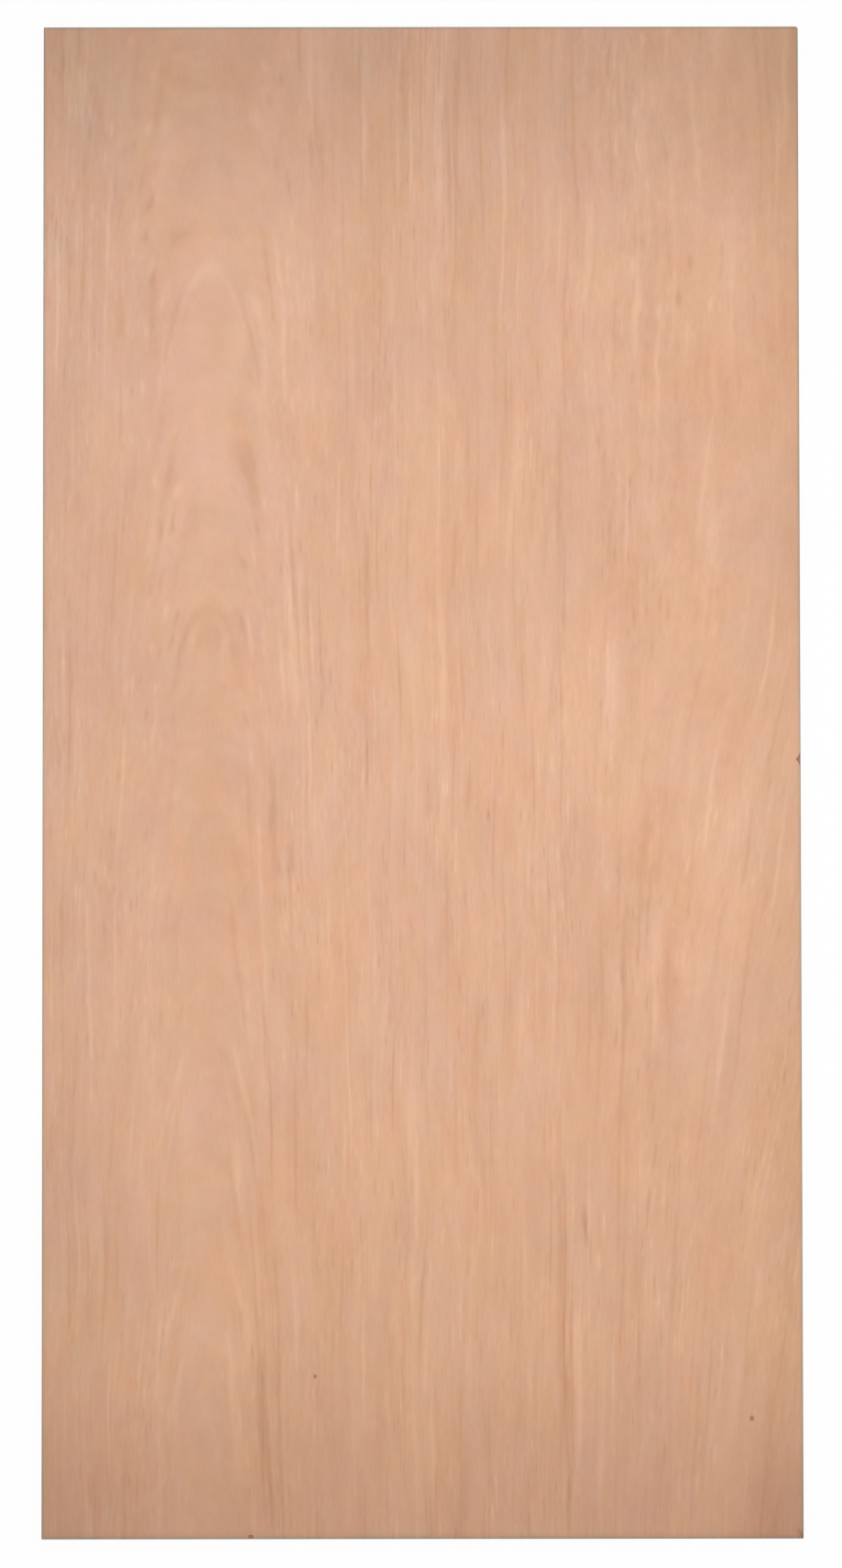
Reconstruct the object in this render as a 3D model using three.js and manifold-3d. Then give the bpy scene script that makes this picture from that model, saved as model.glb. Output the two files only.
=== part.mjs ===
// A full sheet of plywood, in millimetres, +Z up.
//
// The sheet lies on its back veneer. +X runs across it, +Y runs along the face grain from the foot
// to the head, and the origin is under the middle of the sheet, level with its back. Its plies are
// glued into one board, so it is one solid: a plate with sawn edges, eased arrises and worn
// corners, with the face veneer broken away in two places and one corner knocked.

import * as THREE from 'three';
import { mergeVertices } from 'three/addons/utils/BufferGeometryUtils.js';
import ManifoldModule from 'manifold-3d';

const wasm = await ManifoldModule();
wasm.setup();

// The sheet.
const WIDTH = 1220;
const LENGTH = 2440;
const THICKNESS = 18;
const FACE_VENEER = 0.6;

// The arris round both faces, rounded by sanding and handling.
const ARRIS_RADIUS = 0.8;
const ARRIS_STEPS = 3;

// The corners of the flat face, inside the arris: three are nearly sharp, one is rubbed round.
const CRISP_CORNER_RADIUS = 0.4;
const RUBBED_CORNER_RADIUS = 3.2;
const CORNER_STEPS = 6;

// The sliver lost from the right-hand side. Grain runs along this edge, so it is long and pointed.
const SIDE_BREAK_FROM_MIDDLE = 31;
const SIDE_BREAK_LENGTH = 24;
const SIDE_BREAK_REACH = 7.5;
const SIDE_BREAK_SHOULDER = 2;

// The splinter lost from the foot. Grain runs into this edge, so its sides are nearly parallel.
const FOOT_BREAK_FROM_MIDDLE = 275;
const FOOT_BREAK_LENGTH = 10;
const FOOT_BREAK_REACH = 6.5;
const FOOT_BREAK_SHOULDER = 7;

// A break uncovers the ply below at its inner end, and tears a little deeper at the sheet's edge.
const BREAK_EDGE_DEPTH = 1.5;
const BREAK_CURVE_STEPS = 6;

// The knocked corner, at the foot of the right-hand side.
const KNOCK_ALONG_SIDE = 16;
const KNOCK_ALONG_FOOT = 8;
const KNOCK_DOWN = 4;
const KNOCK_HOLLOW_RADIUS = 40;
const KNOCK_HOLLOW_STEPS = 96;

// How far a cutting tool starts outside the sheet.
const TOOL_CLEARANCE = 5;

const VENEER_COLOUR = 0xdbad8e;
const VENEER_ROUGHNESS = 0.6;

/** The flat face's outline: a rectangle inside the arris, its four corners rounded by arcs. */
function faceOutline() {
  const right = WIDTH / 2 - ARRIS_RADIUS;
  const head = LENGTH / 2 - ARRIS_RADIUS;
  const corners = [
    { x: right, y: -head, radius: CRISP_CORNER_RADIUS, start: -Math.PI / 2 },
    { x: right, y: head, radius: RUBBED_CORNER_RADIUS, start: 0 },
    { x: -right, y: head, radius: CRISP_CORNER_RADIUS, start: Math.PI / 2 },
    { x: -right, y: -head, radius: CRISP_CORNER_RADIUS, start: Math.PI },
  ];
  const outline = new THREE.Shape();
  for (const { x, y, radius, start } of corners) {
    const centreX = x - Math.sign(x) * radius;
    const centreY = y - Math.sign(y) * radius;
    outline.absarc(centreX, centreY, radius, start, start + Math.PI / 2, false);
  }
  return outline;
}

/** The whole plate, its arris swept round both faces as a quarter round. */
function plate() {
  const geometry = new THREE.ExtrudeGeometry(faceOutline(), {
    depth: THICKNESS - 2 * ARRIS_RADIUS,
    curveSegments: CORNER_STEPS,
    bevelEnabled: true,
    bevelThickness: ARRIS_RADIUS,
    bevelSize: ARRIS_RADIUS,
    bevelSegments: ARRIS_STEPS,
  });
  return geometry.translate(0, 0, ARRIS_RADIUS);
}

/**
 * The tool that breaks the face veneer away at an edge. In its own frame the edge is the X axis,
 * the sheet is on the +Y side and the face is at z = 0. Two bowed sides run in from the edge to
 * a short shoulder, and the floor slopes from the face veneer's glue line down to the edge.
 */
function breakTool(length, reach, shoulder) {
  const bow = shoulder / 2 + (length - shoulder) / 8;
  const outline = new THREE.Shape();
  outline.moveTo(length / 2, -TOOL_CLEARANCE);
  outline.lineTo(length / 2, 0);
  outline.quadraticCurveTo(bow, reach / 2, shoulder / 2, reach);
  outline.lineTo(-shoulder / 2, reach);
  outline.quadraticCurveTo(-bow, reach / 2, -length / 2, 0);
  outline.lineTo(-length / 2, -TOOL_CLEARANCE);
  const geometry = new THREE.ExtrudeGeometry(outline, {
    depth: BREAK_EDGE_DEPTH + TOOL_CLEARANCE,
    curveSegments: BREAK_CURVE_STEPS,
    bevelEnabled: false,
  });
  const slope = Math.atan2(BREAK_EDGE_DEPTH - FACE_VENEER, reach);
  return geometry.rotateX(slope).translate(0, 0, -BREAK_EDGE_DEPTH);
}

/** The sliver's tool, turned so that it works inwards from the right-hand side. */
function sideBreak() {
  return breakTool(SIDE_BREAK_LENGTH, SIDE_BREAK_REACH, SIDE_BREAK_SHOULDER)
    .rotateZ(Math.PI / 2)
    .translate(WIDTH / 2, SIDE_BREAK_FROM_MIDDLE, THICKNESS);
}

/** The splinter's tool, which works inwards from the foot. */
function footBreak() {
  return breakTool(FOOT_BREAK_LENGTH, FOOT_BREAK_REACH, FOOT_BREAK_SHOULDER)
    .translate(-FOOT_BREAK_FROM_MIDDLE, -LENGTH / 2, THICKNESS);
}

/**
 * The knocked corner's tool: a large ball pressed into the corner. The crushed area's three ends,
 * one on each edge that meets there, lie on the ball, so the corner is dished, not planed.
 */
function cornerKnock() {
  const corner = new THREE.Vector3(WIDTH / 2, -LENGTH / 2, THICKNESS);
  const alongSide = corner.clone().add(new THREE.Vector3(0, KNOCK_ALONG_SIDE, 0));
  const alongFoot = corner.clone().add(new THREE.Vector3(-KNOCK_ALONG_FOOT, 0, 0));
  const down = corner.clone().add(new THREE.Vector3(0, 0, -KNOCK_DOWN));
  const ends = new THREE.Triangle(alongSide, alongFoot, down);
  const outwards = ends.getNormal(new THREE.Vector3());
  if (outwards.dot(corner.clone().sub(down)) < 0) outwards.negate();
  const middle = circumcentre(ends);
  const toEnd = middle.distanceTo(down);
  const radius = Math.max(KNOCK_HOLLOW_RADIUS, toEnd);
  const standOff = Math.sqrt(radius * radius - toEnd * toEnd);
  const ball = new THREE.SphereGeometry(radius, KNOCK_HOLLOW_STEPS, KNOCK_HOLLOW_STEPS / 2);
  const centre = middle.addScaledVector(outwards, standOff);
  return ball.translate(centre.x, centre.y, centre.z);
}

/** The centre of the circle through a triangle's corners. */
function circumcentre({ a, b, c }) {
  const toB = b.clone().sub(a);
  const toC = c.clone().sub(a);
  const normal = toB.clone().cross(toC);
  const rise = toC.clone().cross(normal).multiplyScalar(-toB.lengthSq());
  const run = toB.clone().cross(normal).multiplyScalar(toC.lengthSq());
  return rise.add(run).divideScalar(-2 * normal.lengthSq()).add(a);
}

/** Turns a closed geometry into a solid that can be cut. */
function toSolid(geometry) {
  const bare = geometry.clone();
  bare.deleteAttribute('normal');
  bare.deleteAttribute('uv');
  const merged = mergeVertices(bare);
  return new wasm.Manifold(new wasm.Mesh({
    numProp: 3,
    vertProperties: new Float32Array(merged.getAttribute('position').array),
    triVerts: new Uint32Array(merged.getIndex().array),
  }));
}

/** Turns a solid back into a geometry, with flat facets. */
function toGeometry(solid) {
  const mesh = solid.getMesh();
  const geometry = new THREE.BufferGeometry();
  geometry.setAttribute('position', new THREE.BufferAttribute(mesh.vertProperties, 3));
  geometry.setIndex(new THREE.BufferAttribute(mesh.triVerts, 1));
  geometry.computeVertexNormals();
  return geometry;
}

/** The finished sheet: the plate less the two breaks and the knocked corner. */
function plywoodSheet() {
  let solid = toSolid(plate());
  for (const tool of [sideBreak(), footBreak(), cornerKnock()]) {
    solid = solid.subtract(toSolid(tool));
  }
  const material = new THREE.MeshStandardMaterial({
    color: VENEER_COLOUR,
    roughness: VENEER_ROUGHNESS,
    metalness: 0,
  });
  const mesh = new THREE.Mesh(toGeometry(solid), material);
  mesh.name = 'plywood_sheet';
  return mesh;
}

const part = new THREE.Group();
part.add(plywoodSheet());

export default part;
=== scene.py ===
"""A full plywood sheet, lying on a pale studio floor under a softbox.

The sheet is one glued board, so it is one piece. Its surface is a box lattice worked out with
numpy: the lattice's lines follow the plies, the arrises and the worn places, and three formulas
then ease the edges, lay the plies out and sink what is broken away.
"""

import math

import bpy
import numpy as np
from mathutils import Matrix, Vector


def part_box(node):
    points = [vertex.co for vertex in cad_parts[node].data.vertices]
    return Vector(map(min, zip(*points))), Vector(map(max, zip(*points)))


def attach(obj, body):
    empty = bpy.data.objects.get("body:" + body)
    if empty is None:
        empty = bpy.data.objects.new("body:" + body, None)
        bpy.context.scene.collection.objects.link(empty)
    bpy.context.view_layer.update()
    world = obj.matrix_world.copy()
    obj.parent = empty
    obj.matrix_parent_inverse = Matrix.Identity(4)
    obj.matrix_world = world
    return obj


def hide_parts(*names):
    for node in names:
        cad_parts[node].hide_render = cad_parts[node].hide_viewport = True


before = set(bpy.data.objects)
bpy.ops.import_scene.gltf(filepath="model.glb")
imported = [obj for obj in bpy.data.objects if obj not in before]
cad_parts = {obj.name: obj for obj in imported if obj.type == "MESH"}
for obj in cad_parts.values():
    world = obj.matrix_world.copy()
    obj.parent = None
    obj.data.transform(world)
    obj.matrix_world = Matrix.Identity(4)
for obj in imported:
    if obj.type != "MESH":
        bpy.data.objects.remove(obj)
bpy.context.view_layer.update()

bl_info = {
    "name": "Plywood Sheet",
    "version": (1, 0, 0),
    "blender": (4, 5, 0),
    "location": "3D View > Sidebar > Plywood",
    "description": "Builds a full plywood sheet with sawn edges and a plain studio round it",
    "category": "Add Mesh",
}

MM = 0.001
NODE = "plywood_sheet"
SHEET_LOW, SHEET_HIGH = (np.round(corner, 6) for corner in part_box(NODE))
HALF = (SHEET_HIGH - SHEET_LOW) / 2
MIDDLE = (SHEET_HIGH + SHEET_LOW) / 2

# What is broken away, at the same sizes and places as in the solid, in millimetres.
SIDE_BREAK = {"from_middle": 31, "length": 24, "reach": 7.5, "shoulder": 2}
FOOT_BREAK = {"from_middle": 275, "length": 10, "reach": 6.5, "shoulder": 7}
BREAK_EDGE_DEPTH = 1.5
KNOCK = {"along_side": 16, "along_foot": 8, "down": 4, "hollow_radius": 40}
# A break's walls are not quite upright: how far one leans, in millimetres.
TEAR_WIDTH = 0.7
# How dark the knocked corner is painted, for dirt and as painted shade in its hollow, beside 1 for a
# break that is more than half a millimetre deep.
KNOCK_STAIN_AND_SHADE = 0.65

# The inner plies rise and fall along the edges in slow waves: height in metres, wave number and
# phase. A glue line lies a little below the plies beside it: depth and half width in metres.
PLY_WAVES = ((0.10 * MM, 9.1, 1.0), (0.07 * MM, 23.0, 2.2), (0.05 * MM, 51.0, 0.0))
GLUE_RECESS = 0.07 * MM
GLUE_HALF_WIDTH = 0.1 * MM
# The waves run on round a corner, but not in step with those of the other edge.
SECOND_EDGE_RUN = 0.93

# Each side's island in the map: place of its low corner and its size.
FACE_ISLAND = (0.004, 0.004, 0.992, 0.600)
BACK_ISLAND = (0.004, 0.612, 0.992, 0.255)
RIGHT_ISLAND = (0.004, 0.876, 0.992, 0.034)
LEFT_ISLAND = (0.004, 0.918, 0.992, 0.034)
HEAD_ISLAND = (0.004, 0.960, 0.490, 0.034)
FOOT_ISLAND = (0.506, 0.960, 0.490, 0.034)


# ---------------------------------------------------------------- settings


def length_setting(name, description, default):
    """A setting for a length, in metres."""
    return bpy.props.FloatProperty(name=name, description=description, default=default,
                                   unit="LENGTH", precision=4)


def strength_setting(name, description, default):
    """A setting for how strongly something shows."""
    return bpy.props.FloatProperty(name=name, description=description, default=default,
                                   min=0, subtype="FACTOR")


def power_setting(name, description, default):
    """A setting for the power of a light, in watts."""
    return bpy.props.FloatProperty(name=name, description=description, default=default,
                                   unit="POWER")


class PlywoodSheetSettings(bpy.types.PropertyGroup):
    """Sizes of the sheet's surface."""

    arris_radius: length_setting(
        "Arris radius", "Rounding of the long thin edges by sanding and handling", 0.8 * MM)
    crisp_corner: length_setting(
        "Crisp corners", "Radius, seen from above, of the three corners that are nearly sharp",
        1.2 * MM)
    rubbed_corner: length_setting(
        "Rubbed corner", "Radius, seen from above, of the corner at the right of the head",
        4.0 * MM)
    face_veneer: length_setting(
        "Face veneer", "Thickness of the thin veneers on the face and the back", 0.6 * MM)
    core_plies: bpy.props.IntProperty(
        name="Core plies",
        description="Plies between the two thin veneers; an odd number balances the sheet",
        default=9, min=1,
    )
    lattice_pitch: length_setting(
        "Lattice pitch", "Spacing of the surface's lines where nothing is worn or broken",
        20 * MM)


class VeneerFinishSettings(bpy.types.PropertyGroup):
    """Colours and strengths of the wood."""

    veneer_tone: bpy.props.StringProperty(
        name="Veneer tone", description="Middle tone of the sanded face, as sRGB hex",
        default="#D9A787",
    )
    rings: strength_setting("Rings", "How strongly the long lines of the growth rings show", 5.0)
    clouds: strength_setting("Clouds", "How strongly the soft patches of tone show", 0.58)
    fibre: strength_setting("Fibre", "How strongly the fine lines of the pores show", 1.0)
    fuzz: strength_setting("Fuzz", "How strongly the short soft unevenness between lines shows", 0.26)
    blush: strength_setting("Blush", "How far the wood's hue strays between pink and tan", 1.0)
    streaks: strength_setting("Streaks", "How strongly the single dark and pale streaks show", 0.22)
    # Painted shade: the grey line along the edges is partly handling dirt, partly the rounded edge's
    # shade.
    grime_and_shade_width: length_setting(
        "Grime width", "Width of the handled line along the face's edges", 6.5 * MM)


class StudioSettings(bpy.types.PropertyGroup):
    """Floor, light and camera."""

    camera_height: length_setting(
        "Camera distance", "From the camera to the middle of the sheet's face", 17.0)
    softbox_power: power_setting("Softbox power", "Power of the softbox above the sheet", 24.2)
    back_power: power_setting(
        "Back light power", "Power of the softbox that lights the sheet's back", 20.0)
    fill: bpy.props.FloatProperty(
        name="Fill", description="Strength of the even light from all round", default=0.45)


# ------------------------------------------------------------ small helpers


def linear(hex_colour):
    """An sRGB hex colour as linear red, green and blue with alpha 1."""
    srgb = np.array([int(hex_colour[i:i + 2], 16) for i in (1, 3, 5)]) / 255
    light = np.where(srgb <= 0.04045, srgb / 12.92, ((srgb + 0.055) / 1.055) ** 2.4)
    return (*light, 1.0)


def add(tree, kind, *values, named=None, out=0, **settings):
    """Adds a shader node and returns one of its outputs. Values fill its inputs in order, the
    named ones by name or number; a value that is an output is linked, the others are set."""
    node = tree.nodes.new("ShaderNode" + kind)
    for name, value in settings.items():
        setattr(node, name, value)
    for key, value in [*enumerate(values), *(named or {}).items()]:
        if isinstance(value, bpy.types.NodeSocket):
            tree.links.new(value, node.inputs[key])
        else:
            node.inputs[key].default_value = value
    return node.outputs[out] if node.outputs else node


def new_material(name):
    """An empty node material and its tree."""
    material = bpy.data.materials.new(name)
    material.use_nodes = True
    material.node_tree.nodes.clear()
    return material, material.node_tree


# ------------------------------------------------------- the sheet's surface


def lines(low, high, pitch, *close):
    """Sorted places from low to high, pitch apart, with the close places kept exactly and the
    even ones dropped where they crowd them."""
    wanted = np.unique(np.round(np.concatenate([[low, high], *close]), 6))
    wanted = wanted[(wanted >= low) & (wanted <= high)]
    even = np.linspace(low, high, max(2, round((high - low) / pitch) + 1))
    gap = np.abs(even[:, None] - wanted[None, :]).min(axis=1)
    return np.sort(np.concatenate([wanted, even[gap > pitch * 0.45]]))


def about(middle, reach, step):
    """Places step apart, from reach below middle to reach above it."""
    return middle + np.linspace(-reach, reach, 2 * math.ceil(reach / step) + 1)


def ease(points, half, arris, corner):
    """Rounds a box's surface points, in a frame centred on the box.

    Seen from above, a point in a corner's square is moved to the quarter disc inside it: its
    larger side becomes its radius and its direction stays. Then, in the section square to the
    outline, a point in the arris's square is moved to the quarter disc in the same way. Returns
    the new points and the outline's outward direction at each.
    """
    side = np.where(points < 0, -1.0, 1.0)
    out = np.abs(points[:, :2]) - (half[:2] - corner[:, None])
    past = np.clip(out, 0, None)
    reach = past.max(axis=1)
    span = np.hypot(*past.T)
    outward = np.divide(past, span[:, None], out=np.zeros_like(past), where=span[:, None] > 0)
    beyond = reach - (corner - arris)
    above = np.abs(points[:, 2]) - (half[2] - arris)
    in_arris = (beyond > 0) & (above > 0)
    larger = np.maximum(beyond, above)
    across = np.hypot(beyond, above)
    shrink = np.divide(larger, across, out=np.ones_like(across), where=in_arris)
    eased_reach = reach + np.where(in_arris, beyond * (shrink - 1), 0)
    eased = points.copy()
    inner = np.minimum(np.abs(points[:, :2]), half[:2] - corner[:, None])
    eased[:, :2] = (inner + outward * eased_reach[:, None]) * side[:, :2]
    height = np.where(in_arris, half[2] - arris + above * shrink, np.abs(points[:, 2]))
    eased[:, 2] = height * side[:, 2]
    return eased, outward * side[:, :2]


def break_depth(along, inward, length, reach, shoulder, face_veneer):
    """Depth of a veneer break at places along and in from an edge, in millimetres.

    The break is as wide as the solid's bowed outline there, and its floor slopes from the face
    veneer's glue line at its inner end down to the edge.
    """
    share = np.clip(inward / reach, 0, 1)
    bow = shoulder / 2 + (length - shoulder) / 8
    # Two stretches of a quadratic curve: half the length at the edge, the bow, half the shoulder.
    half_width = (length / 2 * (1 - share) ** 2 + 2 * bow * share * (1 - share)
                  + shoulder / 2 * share ** 2)
    wall = np.clip((half_width - np.abs(along)) / TEAR_WIDTH, 0, 1)
    end = np.clip((reach - inward) / TEAR_WIDTH, 0, 1)
    floor = BREAK_EDGE_DEPTH + (face_veneer - BREAK_EDGE_DEPTH) * share
    return floor * wall * end


def lost_depth(plan, face_veneer):
    """How far the face is sunk at places seen from above, in metres, by the two veneer breaks,
    and by the knocked corner, which is dished by a large ball."""
    x, y = (plan / MM).T
    half_width, half_length = HALF[:2] / MM
    side = break_depth(y - SIDE_BREAK["from_middle"], half_width - x, SIDE_BREAK["length"],
                       SIDE_BREAK["reach"], SIDE_BREAK["shoulder"], face_veneer / MM)
    foot = break_depth(x + FOOT_BREAK["from_middle"], half_length + y, FOOT_BREAK["length"],
                       FOOT_BREAK["reach"], FOOT_BREAK["shoulder"], face_veneer / MM)
    return np.maximum(side, foot) * MM, knock_depth(half_width - x, half_length + y) * MM


def knock_depth(from_side, from_foot):
    """Depth of the knocked corner, in millimetres: the underside of a ball that passes through
    the crushed area's three ends, below the face."""
    ends = np.array([[0, KNOCK["along_side"], 0], [KNOCK["along_foot"], 0, 0],
                     [0, 0, KNOCK["down"]]], dtype=float)
    first, second = ends[1] - ends[0], ends[2] - ends[0]
    normal = np.cross(first, second)
    rise = (np.cross(normal, first) * second.dot(second)
            + np.cross(second, normal) * first.dot(first))
    centre = ends[0] + rise / (2 * normal.dot(normal))
    outward = -np.abs(normal) / np.linalg.norm(normal)
    to_end = np.linalg.norm(ends[0] - centre)
    ball = centre + outward * math.sqrt(KNOCK["hollow_radius"] ** 2 - to_end ** 2)
    level = KNOCK["hollow_radius"] ** 2 - (from_side - ball[0]) ** 2 - (from_foot - ball[1]) ** 2
    return np.clip(ball[2] + np.sqrt(np.clip(level, 0, None)), 0, None)


def lattice(settings):
    """The lattice's lines across, along and up the sheet, centred on it."""
    arris = settings.arris_radius
    steps = arris * np.linspace(0, 1, 4)
    half_x, half_y, half_z = HALF
    rubbed_and_shaded = np.linspace(0, settings.rubbed_corner, 6)
    rim = np.concatenate([steps, [settings.crisp_corner, settings.crisp_corner + 1 * MM]])
    across = lines(-half_x, half_x, settings.lattice_pitch,
                   -half_x + rim, half_x - rim, half_x - rubbed_and_shaded,
                   half_x - np.arange(0, SIDE_BREAK["reach"] + 1, 0.5) * MM,
                   half_x - np.arange(0, KNOCK["along_foot"] + 2, 1) * MM,
                   about(-FOOT_BREAK["from_middle"] * MM, 6 * MM, 0.45 * MM))
    along = lines(-half_y, half_y, settings.lattice_pitch,
                  -half_y + rim, half_y - rim, half_y - rubbed_and_shaded,
                  -half_y + np.arange(0, FOOT_BREAK["reach"] + 1, 0.5) * MM,
                  -half_y + np.arange(0, KNOCK["along_side"] + 2, 1) * MM,
                  about(SIDE_BREAK["from_middle"] * MM, 13 * MM, 0.5 * MM))
    glue = glue_levels(settings)
    up = lines(-half_z, half_z, 1 * MM, half_z - steps, -half_z + steps,
               glue[1:-1], glue[1:-1] - 0.15 * MM, glue[1:-1] + 0.15 * MM)
    return across, along, up


def glue_levels(settings):
    """Heights of the glue lines from the back up, centred on the sheet."""
    core = HALF[2] - settings.face_veneer
    return np.linspace(-core, core, settings.core_plies + 1)


def ply_wander(plan):
    """How far the inner plies rise and fall along the edges, in metres: a sum of sine waves."""
    run = plan[:, 0] + plan[:, 1] * SECOND_EDGE_RUN
    return sum(height * np.sin(run * number + phase) for height, number, phase in PLY_WAVES)


def surface(settings):
    """The sheet's points, faces and per-point values.

    Every lattice point on the box's surface is one vertex, shared by the sides that meet there,
    so the shell is closed as it is made.
    """
    across, along, up = lattice(settings)
    shape = (len(across), len(along), len(up))
    on_surface = np.zeros(shape, dtype=bool)
    on_surface[[0, -1], :, :] = True
    on_surface[:, [0, -1], :] = True
    on_surface[:, :, [0, -1]] = True
    index = np.full(shape, -1)
    index[on_surface] = np.arange(on_surface.sum())
    i, j, k = np.nonzero(on_surface)
    box = np.stack([across[i], along[j], up[k]], axis=1)

    corner = np.where((box[:, 0] > 0) & (box[:, 1] > 0), settings.rubbed_corner,
                      settings.crisp_corner)
    points, outward = ease(box, HALF, settings.arris_radius, corner)

    inner = np.clip(1 - (np.abs(box[:, 2]) / (HALF[2] - settings.face_veneer)) ** 6, 0, 1)
    points[:, 2] += ply_wander(points[:, :2]) * inner * (np.abs(box[:, 2]) < HALF[2])
    level = box[:, 2].copy()

    broken, knocked = lost_depth(points[:, :2], settings.face_veneer)
    lost = np.maximum(broken, knocked)
    # Painted shade: how far torn wood is darkened, for its dirt and for the shade in the breaks.
    stain_and_shade = np.clip(broken / (0.5 * MM), KNOCK_STAIN_AND_SHADE, 1)
    squeeze = np.clip(box[:, 2] / HALF[2], 0, 1)
    points[:, 2] -= lost * squeeze
    level -= lost * squeeze

    at_edge = np.any(np.abs(box[:, :2]) >= HALF[:2] - 1e-9, axis=1)
    groove = np.abs(level[:, None] - glue_levels(settings)[None, 1:-1]).min(axis=1)
    depth = GLUE_RECESS * np.exp(-(groove / GLUE_HALF_WIDTH) ** 2)
    recess = np.where(at_edge & (inner > 0.3), depth, 0)
    points[:, :2] -= outward * recess[:, None]

    quads, sides, maps = box_sides(index, across, along, up)
    values = {"level": level + HALF[2], "stain_and_shade": stain_and_shade}
    return points + MIDDLE, quads, sides, maps, values


def box_sides(index, across, along, up):
    """The lattice's quads with outward faces, each quad's side, and each corner's map place.

    The map gives the face the most room, and each edge a strip as long as the sheet."""
    width, length = across[-1] - across[0], along[-1] - along[0]
    u_long = (along - along[0]) / length
    v_wide = (across - across[0]) / width
    w_up = (up - up[0]) / (up[-1] - up[0])
    # The points of a side, their shares of the way along it, its island, its material, and
    # whether its corners are taken the other way round.
    layers = (
        (index[:, :, -1], v_wide, u_long, FACE_ISLAND, 0, False),
        (index[:, :, 0], v_wide, u_long, BACK_ISLAND, 1, True),
        (index[-1, :, :], u_long, w_up, RIGHT_ISLAND, 2, False),
        (index[0, :, :], u_long, w_up, LEFT_ISLAND, 2, True),
        (index[:, -1, :], v_wide, w_up, HEAD_ISLAND, 3, True),
        (index[:, 0, :], v_wide, w_up, FOOT_ISLAND, 3, False),
    )
    quads, sides, maps = [], [], []
    for layer, first, second, island, material, turned in layers:
        left, low, wide, high = island
        a, b = np.meshgrid(first, second, indexing="ij")
        if second is u_long:
            place = np.stack([left + b * wide, low + a * high], axis=-1)
        else:
            place = np.stack([left + a * wide, low + b * high], axis=-1)
        corners = [(slice(0, -1), slice(0, -1)), (slice(1, None), slice(0, -1)),
                   (slice(1, None), slice(1, None)), (slice(0, -1), slice(1, None))]
        if turned:
            corners.reverse()
        quads.append(np.stack([layer[c] for c in corners], axis=-1).reshape(-1, 4))
        maps.append(np.stack([place[c] for c in corners], axis=-2).reshape(-1, 4, 2))
        sides.append(np.full(len(quads[-1]), material))
    return np.concatenate(quads), np.concatenate(sides), np.concatenate(maps)


def build_mesh(name, settings):
    """Puts the surface's arrays into a mesh with its map and per-point values."""
    points, quads, sides, maps, values = surface(settings)
    mesh = bpy.data.meshes.new(name)
    mesh.vertices.add(len(points))
    mesh.vertices.foreach_set("co", points.ravel())
    mesh.loops.add(quads.size)
    mesh.loops.foreach_set("vertex_index", quads.ravel())
    mesh.polygons.add(len(quads))
    mesh.polygons.foreach_set("loop_start", np.arange(0, quads.size, 4))
    mesh.polygons.foreach_set("material_index", sides)
    mesh.uv_layers.new(name="OFBake").data.foreach_set("uv", maps.ravel())
    for label, value in values.items():
        mesh.attributes.new(label, "FLOAT", "POINT").data.foreach_set("value", value)
    mesh.attributes.new("grain", "FLOAT_VECTOR", "POINT").data.foreach_set(
        "vector", grain(points[:, :2]).ravel())
    mesh.update(calc_edges=True)
    mesh.validate()
    mesh.shade_smooth()
    return mesh


# ---------------------------------------------------------------- the grain

# Where the log's pith runs below the face, how far to its sides it is felt, and how its depth
# grows towards the head: what it is squared at the foot, and what each metre and each square
# metre from there adds to the square.
PITH = {"at_foot": -345 * MM, "at_head": -340 * MM}
PITH_SPREAD = 210 * MM
PITH_DEPTH_SQUARED = (0.001, 0.0065, 0.0022)
# On the right the lines lean over: how far, and where the ramps across and along start and end.
LEAN = 200 * MM
LEAN_ACROSS = (0.21, 0.68)
LEAN_ALONG = (-1.40, 0.60)
WAVES = 7


def grain(plan):
    """The grain's own space at places seen from above: how far a place is across the grain from
    the line above the pith, how far it is along the sheet, and how deep the pith is below it.

    The lines of the grain wander in slow waves, and on the right they lean over by a smooth ramp
    each way. The depth's square grows towards the head as a quadratic curve, since the log
    tapers, and the depth dies away to the sides as a bell curve. The first and last taken
    together as two sides of a right angle give the growth, and its contours are the arches that
    a knife peels over the pith.
    """
    x, y = plan.T
    random = np.random.default_rng(5)
    wander = np.zeros(len(plan))
    for _ in range(WAVES):
        along, across = random.uniform(9, 22), random.uniform(-9, 9)
        wander += random.uniform(0.3, 1.0) * MM * np.sin(along * y + across * x
                                                       + random.uniform(0, 2 * math.pi))
    lean = LEAN * ramp(x, *LEAN_ACROSS) * ramp(y, *LEAN_ALONG)
    up = y + HALF[1]
    pith = PITH["at_foot"] + (PITH["at_head"] - PITH["at_foot"]) * up / (2 * HALF[1])
    from_pith = x - lean - wander - pith
    at_foot, per_metre, per_square = PITH_DEPTH_SQUARED
    depth = np.sqrt(at_foot + per_metre * up + per_square * up ** 2)
    depth *= np.exp(-(from_pith / PITH_SPREAD) ** 2 / 2)
    return np.stack([from_pith, y, depth], axis=1)


def ramp(values, low, high):
    """0 below low, 1 above high, and a smooth curve between them."""
    share = np.clip((values - low) / (high - low), 0, 1)
    return share * share * (3 - 2 * share)


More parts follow.
